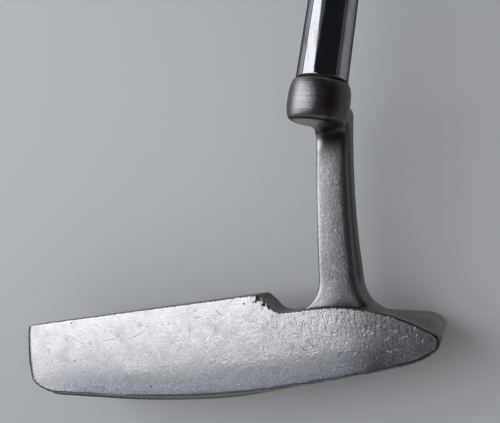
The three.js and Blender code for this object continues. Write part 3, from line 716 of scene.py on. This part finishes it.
def set_epoxy():
    """Dark epoxy: a dull skin over uneven squeeze-out, stained brown by rust."""
    material, tree, shader = new_material("set epoxy adhesive")
    stain = add(tree, "TexNoise", {"Vector": in_mm(tree), "Scale": 0.9, "Detail": 3.0}).outputs["Fac"]
    stain = add(tree, "MapRange", {"Value": stain, "From Min": 0.45, "From Max": 0.65}).outputs[0]
    shade = add(tree, "Mix", {0: stain, 6: linear("#171412"), 7: linear("#4a2c1f")}, data_type="RGBA")
    lumpy = add(tree, "TexNoise", {"Vector": in_mm(tree), "Scale": 3.0}).outputs["Fac"]
    bump = add(tree, "Bump", {"Height": lumpy, "Distance": 0.05 * mm})
    feed(tree, shader, {"Base Color": shade.outputs[2], "Roughness": 0.55, "Normal": bump.outputs[0]})
    return material


finished("epoxy_bead", grid_mesh("epoxy_bead", glue_grid), set_epoxy(), "shaft_adhesive")


# Shaft
# A drawn steel tube with polished chrome plate. Its tip is flared over the post, and above its
# waist it steps up to the butt.

first_step, step_pitch, step_count, step_rise, step_run = 190 * mm, 33 * mm, 10, 0.25 * mm, 0.8 * mm
shaft_columns = 96
shaft_top = ((shaft_points - seat) @ along).max()

# [radius, height] above the seat: up the outside from the rounded foot, then down the inside
outside = [[tip_radius - 0.15 * mm, shaft_foot], [tip_radius - 0.04 * mm, shaft_foot + 0.04 * mm],
           [tip_radius, shaft_foot + 0.15 * mm], [tip_radius, shaft_foot + 0.25 * mm]]
for share in np.linspace(0.02, 1, 30):
    outside.append([tip_radius + (waist_radius - tip_radius) * share, flare_length * share])
radius = waist_radius
for step in range(step_count):
    height = first_step + step * step_pitch
    for share in np.linspace(0, 1, 5):
        outside.append([radius + step_rise * smoothstep(0, 1, share), height + step_run * share])
    radius += step_rise
outside += [[radius, shaft_top - 0.1 * mm], [radius - 0.1 * mm, shaft_top]]
inside = [[radius - shaft_wall + 0.1 * mm, shaft_top], [radius - shaft_wall, shaft_top - 0.1 * mm],
          [radius - shaft_wall, first_step + step_count * step_pitch],
          [waist_radius - shaft_wall, first_step], [waist_radius - tip_wall, flare_length],
          [bore_radius(shaft_foot), shaft_foot]]
shaft_grid = ringed(outside + inside, shaft_columns)
shaft_mesh = grid_mesh("stepped_shaft", shaft_grid)
add_attribute(shaft_mesh, "low_down", smoothstep(
    60 * mm, 5 * mm, (shaft_grid.reshape(-1, 3) - seat) @ along))


def polished_chrome():
    """Chrome plate on steel: a near mirror with fine pits, and a thin brown bloom near the tip
    where damp has crept under it."""
    material, tree, shader = new_material("polished chrome plate")
    place = in_mm(tree)
    slow = add(tree, "TexNoise", {"Vector": place, "Scale": 0.35, "Detail": 2.0}).outputs["Fac"]
    pit = add(tree, "TexVoronoi", {"Vector": place, "Scale": 0.9}).outputs["Distance"]
    pit = add(tree, "MapRange", {"Value": pit, "From Min": 0.16, "From Max": 0.08}).outputs[0]
    relief = add(tree, "Math", {0: pit, 1: -1.2, 2: slow}, operation="MULTIPLY_ADD").outputs[0]
    bump = add(tree, "Bump", {"Height": relief, "Distance": 0.003 * mm})
    bloom = add(tree, "TexNoise", {"Vector": in_mm(tree, (1.5, 6, 1.5)), "Scale": 1.0,
                                   "Detail": 3.0}).outputs["Fac"]
    bloom = add(tree, "MapRange", {"Value": bloom, "From Min": 0.5, "From Max": 0.75,
                                   "To Max": 0.5}).outputs[0]
    low_down = add(tree, "Attribute", attribute_name="low_down").outputs["Fac"]
    bloom = add(tree, "Math", {0: bloom, 1: low_down}, operation="MULTIPLY").outputs[0]
    dull = add(tree, "Math", {0: pit, 1: 0.5}, operation="MULTIPLY").outputs[0]
    shade = linear("#b4b6ba")
    for share, colour in ((bloom, "#85705f"), (dull, "#55504b")):
        shade = add(tree, "Mix", {0: share, 6: shade, 7: linear(colour)}, data_type="RGBA").outputs[2]
    rough = add(tree, "MapRange", {"Value": bloom, "To Min": 0.06, "To Max": 0.3}).outputs[0]
    feed(tree, shader, {"Base Color": shade, "Roughness": rough, "Metallic": 1,
                        "Specular Tint": linear("#585858"), "Normal": bump.outputs[0]})
    return material


finished("stepped_shaft", shaft_mesh, polished_chrome(), "shaft")


# Grip tape
# Double-sided crepe paper tape, wound round the butt of the shaft under the grip. The frame's own
# plain sleeve serves, because the grip covers it.

def crepe_paper_tape():
    """Crepe paper soaked in adhesive: a buff band with fine wrinkles across it."""
    material, tree, shader = new_material("crepe paper tape")
    wrinkle = add(tree, "TexNoise", {"Vector": in_mm(tree, (2, 0.5, 2)), "Scale": 1.0,
                                     "Detail": 3.0}).outputs["Fac"]
    shade = add(tree, "Mix", {0: wrinkle, 6: linear("#c2b38a"), 7: linear("#dbcfae")}, data_type="RGBA")
    bump = add(tree, "Bump", {"Height": wrinkle, "Distance": 0.1 * mm})
    feed(tree, shader, {"Base Color": shade.outputs[2], "Roughness": 0.85, "Normal": bump.outputs[0]})
    return material


frame["nodes"]["grip_tape"].material_slots[0].material = crepe_paper_tape()


# Grip sleeve
# A moulded rubber pistol grip, pulled on over the tape. The thumbs lie on its flat, which has
# fine ribs across it. The sides and the round back carry rows of pits, and swell to the butt.

sleeve_heights = (points_of(frame["nodes"]["grip_sleeve"].data) - seat) @ along
cap_heights = (points_of(frame["nodes"]["grip_cap"].data) - seat) @ along
grip_foot, grip_end, cap_top = sleeve_heights.min(), sleeve_heights.max(), cap_heights.max()
grip_length = cap_top - grip_foot
grip_bore = 7.65 * mm
lip_height, lip_proud = 3 * mm, 0.6 * mm
pistol_length, pistol_reach = 95 * mm, 18.2 * mm
flat_reach, flat_gain = 9.2 * mm, 3 * mm
side_reach, side_gain = 9.8 * mm, 3.6 * mm
back_reach, back_gain = 9.8 * mm, 2.2 * mm
corner_radius = 4.6 * mm
grip_columns = 180


def grip_reach(angle, height, inset):
    """How far the grip's surface lies from the shaft's axis: the nearer of the thumb flat and the
    straight sides, rounded between those by corner arcs, and by half a circle at the back. All
    widen evenly up the grip, and the back swells by a smooth step. The inset shrinks it."""
    share = (height - grip_foot) / grip_length
    swell = smoothstep(cap_top - pistol_length, cap_top - pistol_length / 4, height)
    front = flat_reach + flat_gain * share - inset
    half_width = side_reach + side_gain * share - inset
    back = (back_reach + back_gain * share) * (1 - swell) + pistol_reach * swell - inset
    corner = corner_radius - inset
    toward, aside = np.cos(angle), np.abs(np.sin(angle))
    reach = np.minimum(half_width / np.maximum(aside, 1e-6), front / np.maximum(-toward, 1e-6))

    def to_arc(toward_middle, aside_middle, radius):
        leg = toward * toward_middle + aside * aside_middle
        gap = radius ** 2 - toward_middle ** 2 - aside_middle ** 2
        return leg + np.sqrt(np.maximum(leg ** 2 + gap, 0))

    at_corner = (reach * toward < corner - front) & (reach * aside > half_width - corner)
    reach = np.where(at_corner, to_arc(corner - front, half_width - corner, corner), reach)
    return np.where(reach * toward > back - half_width, to_arc(back - half_width, 0, half_width), reach)


grip_angle = turn_of(grip_columns)[None, :]
rib_pitch, rib_depth, rib_half_length = 2.6 * mm, 0.4 * mm, 5.2 * mm
pit_pitch, pit_radius, pit_depth = 4 * mm, 1.15 * mm, 0.45 * mm
pit_row = pit_pitch * 0.8
sleeve_height = np.concatenate([
    grip_foot + lip_height * np.array([0, 0.04, 0.15, 0.32, 0.5, 0.65, 0.8, 0.92]),
    np.arange(grip_foot + lip_height, grip_end - 0.3 * mm, rib_pitch / 5),
    [grip_end - 0.2 * mm, grip_end]])[:, None]
lip = np.interp(sleeve_height, grip_foot + lip_height * np.array([0, 0.15, 0.5, 0.8, 1]),
                lip_proud * np.array([0.3, 0.9, 1, 0.9, 0]))
sleeve_reach = grip_reach(grip_angle, sleeve_height, -lip)

# Round the middle of the grip, the way from the back to each column
girth_reach = grip_reach(grip_angle, np.array([[grip_foot + grip_length / 2]]), 0)[0]
girth_points = girth_reach * np.exp(1j * grip_angle[0])
girth = np.concatenate([[0], np.abs(np.diff(girth_points)).cumsum()])
once_round = girth[-1] + abs(girth_points[-1] - girth_points[0])
girth *= round(girth[-1] / pit_pitch) * pit_pitch / once_round

# Ribs lie across the flat, and pits in staggered rows on the rest. Both stop short of the ends.
beside_middle = np.abs(sleeve_reach * np.sin(grip_angle))
forward = -sleeve_reach * np.cos(grip_angle)
on_flat = smoothstep(6 * mm, 7.5 * mm, forward)
on_flat = on_flat * smoothstep(rib_half_length + 0.5 * mm, rib_half_length, beside_middle)
patterned = (smoothstep(grip_foot + 14 * mm, grip_foot + 16 * mm, sleeve_height)
             * smoothstep(grip_end - 12 * mm, grip_end - 14 * mm, sleeve_height))
rib_turn = 2 * math.pi * (sleeve_height - grip_foot) / rib_pitch
ribs = rib_depth * on_flat * (0.5 - 0.5 * np.cos(rib_turn)) ** 1.5
row_number = np.floor((sleeve_height - grip_foot) / pit_row)
up_cell = (sleeve_height - grip_foot) - (row_number + 0.5) * pit_row
round_cell = (girth[None, :] + row_number % 2 * pit_pitch / 2) % pit_pitch - pit_pitch / 2
pit_share = np.clip(1 - (up_cell ** 2 + round_cell ** 2) / pit_radius ** 2, 0, 1)
pits = pit_depth * pit_share * smoothstep(5.5 * mm, 4 * mm, forward)
carved = patterned * (ribs + pits)
sleeve_rows = on_stick(sleeve_reach - carved, sleeve_height, grip_angle)
bore_rows = ringed([[grip_bore, grip_end], [grip_bore, grip_foot]], grip_columns)
sleeve_mesh = grid_mesh("pistol_grip", np.concatenate([sleeve_rows, bore_rows]))
add_attribute(sleeve_mesh, "carved", np.concatenate([
    carved / pit_depth, np.zeros((2, grip_columns))]).ravel())


def moulded_rubber(name, fresh, dusty):
    """Soft moulded rubber: matt and nearly black, greyed where it is handled, with dust lying in
    whatever is carved into it. Its cloth-fine grain is drawn at half a millimetre to show."""
    material, tree, shader = new_material(name)
    place = in_mm(tree)
    grain = add(tree, "TexNoise", {"Vector": place, "Scale": 2.0, "Detail": 4.0}).outputs["Fac"]
    bloom = add(tree, "TexNoise", {"Vector": place, "Scale": 0.07, "Detail": 5.0}).outputs["Fac"]
    carved = add(tree, "Attribute", attribute_name="carved").outputs["Fac"]
    dust = add(tree, "Math", {0: carved, 1: grain}, operation="MULTIPLY").outputs[0]
    dust = add(tree, "MapRange", {"Value": dust, "From Min": 0.1, "From Max": 0.6,
                                  "To Max": 0.4}).outputs[0]
    bloom = add(tree, "MapRange", {"Value": bloom, "From Min": 0.4, "From Max": 0.7}).outputs[0]
    shade = linear(fresh)
    for share, colour in ((bloom, "#2f2f30"), (dust, dusty)):
        shade = add(tree, "Mix", {0: share, 6: shade, 7: linear(colour)}, data_type="RGBA").outputs[2]
    rough = add(tree, "MapRange", {"Value": bloom, "To Min": 0.62, "To Max": 0.78}).outputs[0]
    bump = add(tree, "Bump", {"Height": grain, "Distance": 0.04 * mm})
    feed(tree, shader, {"Base Color": shade, "Roughness": rough, "Normal": bump.outputs[0]})
    return material


finished("pistol_grip", sleeve_mesh, moulded_rubber("moulded grip rubber", "#1d1d1e", "#6a655c"),
         "grip_sleeve")


# Grip cap
# The moulded end of the grip: a rounded rubber cap with a vent hole, held by a spigot that is
# pressed into the shaft.

vent_radius, spigot_radius, spigot_round, cap_round = 1.5 * mm, 6.45 * mm, 1.1 * mm, 2.2 * mm
spigot_foot, cap_foot = cap_heights.min(), grip_end + 0.1 * mm
turns = np.linspace(0, math.pi / 2, 9)

# Radius and height of each row: out and up round the spigot, over the cap, and down the vent
cap_rows = [(vent_radius + 0.1 * mm, spigot_foot), (spigot_radius - spigot_round, spigot_foot)]
cap_rows += [(spigot_radius - spigot_round * (1 - math.sin(turn)),
              spigot_foot + spigot_round * (1 - math.cos(turn))) for turn in turns]
cap_rows += [(spigot_radius, cap_foot - 0.05 * mm), (spigot_radius + 0.05 * mm, cap_foot)]
insets = [(0.1 * mm, cap_foot), (0.03 * mm, cap_foot + 0.03 * mm), (0, cap_foot + 0.1 * mm)]
insets += [(cap_round * (1 - math.cos(turn)), cap_top - cap_round * (1 - math.sin(turn)))
           for turn in turns]
cap_rows += [(grip_reach(grip_angle[0], height, inset), height) for inset, height in insets]
top_reach = grip_reach(grip_angle[0], cap_top, cap_round)
cap_rows += [(top_reach * share, cap_top) for share in (0.97, 0.8, 0.6, 0.4)]
cap_rows += [(vent_radius + 0.3 * mm, cap_top), (vent_radius + 0.09 * mm, cap_top - 0.09 * mm),
             (vent_radius, cap_top - 0.3 * mm), (vent_radius, spigot_foot + 0.1 * mm)]
finished("vented_cap", grid_mesh("vented_cap", ringed(cap_rows, grip_columns)),
         moulded_rubber("moulded cap rubber", "#222224", "#6a655c"), "grip_cap")


# Board, room and window
# The club lies on a pale painted board beside a window. The room over it is dim, so that the
# metal is dark wherever it doesn't face the window or the board.

board_half, lamp_distance = 1.5, 2.5
board_mesh = bpy.data.meshes.new("board")
board_mesh.from_pydata([(x * board_half, y * board_half, 0) for x, y in (
    (-1, -1), (1, -1), (1, 1), (-1, 1))], [], [(0, 1, 2, 3)])
board = placed("board", board_mesh)
board_material, tree, shader = new_material("pale eggshell paint")
brushed = add(tree, "TexNoise", {"Vector": in_mm(tree, (2.5, 60, 1)), "Scale": 1.0,
                                 "Detail": 3.0}).outputs["Fac"]
bump = add(tree, "Bump", {"Height": brushed, "Distance": 0.03 * mm})
feed(tree, shader, {"Base Color": linear("#b7b9bb"), "Roughness": 0.38, "Normal": bump.outputs[0]})
board_mesh.materials.append(board_material)


def upright_lamp(name, azimuth_degrees, spread_degrees, low_degrees, high_degrees, glow, mirrored):
    """A lamp that fills an upright rectangle. It is given by the angles that it spans as seen from
    the head, and by the glow of its surface: that times pi times its area is its power. Only a
    mirrored one shows in polished metal."""
    azimuth = math.radians(azimuth_degrees)
    level = Vector((math.cos(azimuth), math.sin(azimuth), 0))
    low, high = (lamp_distance * math.tan(math.radians(angle)) for angle in (low_degrees, high_degrees))
    light = bpy.data.lights.new(name, "AREA")
    light.shape = "RECTANGLE"
    light.size = 2 * lamp_distance * math.tan(math.radians(spread_degrees / 2))
    light.size_y = high - low
    light.color = linear("#f6f8fc")[:3]
    light.energy = glow * math.pi * light.size * light.size_y
    lamp = placed(name, light)
    lamp.location = Vector(face_middle) + level * lamp_distance + Vector((0, 0, (low + high) / 2))
    lamp.rotation_euler = level.to_track_quat("Z", "Y").to_euler()
    lamp.visible_camera = False
    lamp.visible_glossy = mirrored


# The window, the curtain beside it, and more of the window's light for whatever isn't polished
upright_lamp("window", 154, 54, 8, 80, 2.0, True)
upright_lamp("window_side", 114, 24, 8, 60, 0.13, True)
upright_lamp("window_fill", 154, 54, 8, 80, 2.3, False)

# The room as metal and the camera see it is pale at the horizon, dark overhead, dim towards the
# south, and nearly dark to the east, on the heel's side. What it sheds on dull surfaces is even.
world = bpy.data.worlds.new("room")
world.use_nodes = True
sky = world.node_tree
way = add(sky, "SeparateXYZ", {0: add(sky, "TexCoord").outputs["Generated"]})
south = add(sky, "MapRange", {"Value": way.outputs["Y"], "From Min": -0.3, "From Max": -0.9}).outputs[0]
low = add(sky, "MapRange", {"Value": way.outputs["Z"], "From Min": 0.8, "From Max": 0.5}).outputs[0]
dim = add(sky, "Math", {0: south, 1: low}, operation="MULTIPLY").outputs[0]
high = add(sky, "MapRange", {"Value": way.outputs["Z"], "From Min": 0.06, "From Max": 0.3}).outputs[0]
east = add(sky, "MapRange", {"Value": way.outputs["X"], "From Min": 0.7, "From Max": 0.9,
                             "To Max": 0.8}).outputs[0]
dark = add(sky, "Math", {0: high, 1: east}, operation="MAXIMUM").outputs[0]
room = add(sky, "Mix", {0: dim, 6: linear("#232427"), 7: linear("#6f6d6a")}, data_type="RGBA").outputs[2]
room = add(sky, "Mix", {0: dark, 6: linear("#b0aeac"), 7: room}, data_type="RGBA").outputs[2]
dull = add(sky, "LightPath").outputs["Is Diffuse Ray"]
room = add(sky, "Mix", {0: dull, 6: room, 7: linear("#a9a9aa")}, data_type="RGBA").outputs[2]
sky.links.new(room, sky.nodes["Background"].inputs["Color"])
bpy.context.scene.world = world
bpy.context.scene.view_settings.view_transform = "Standard"
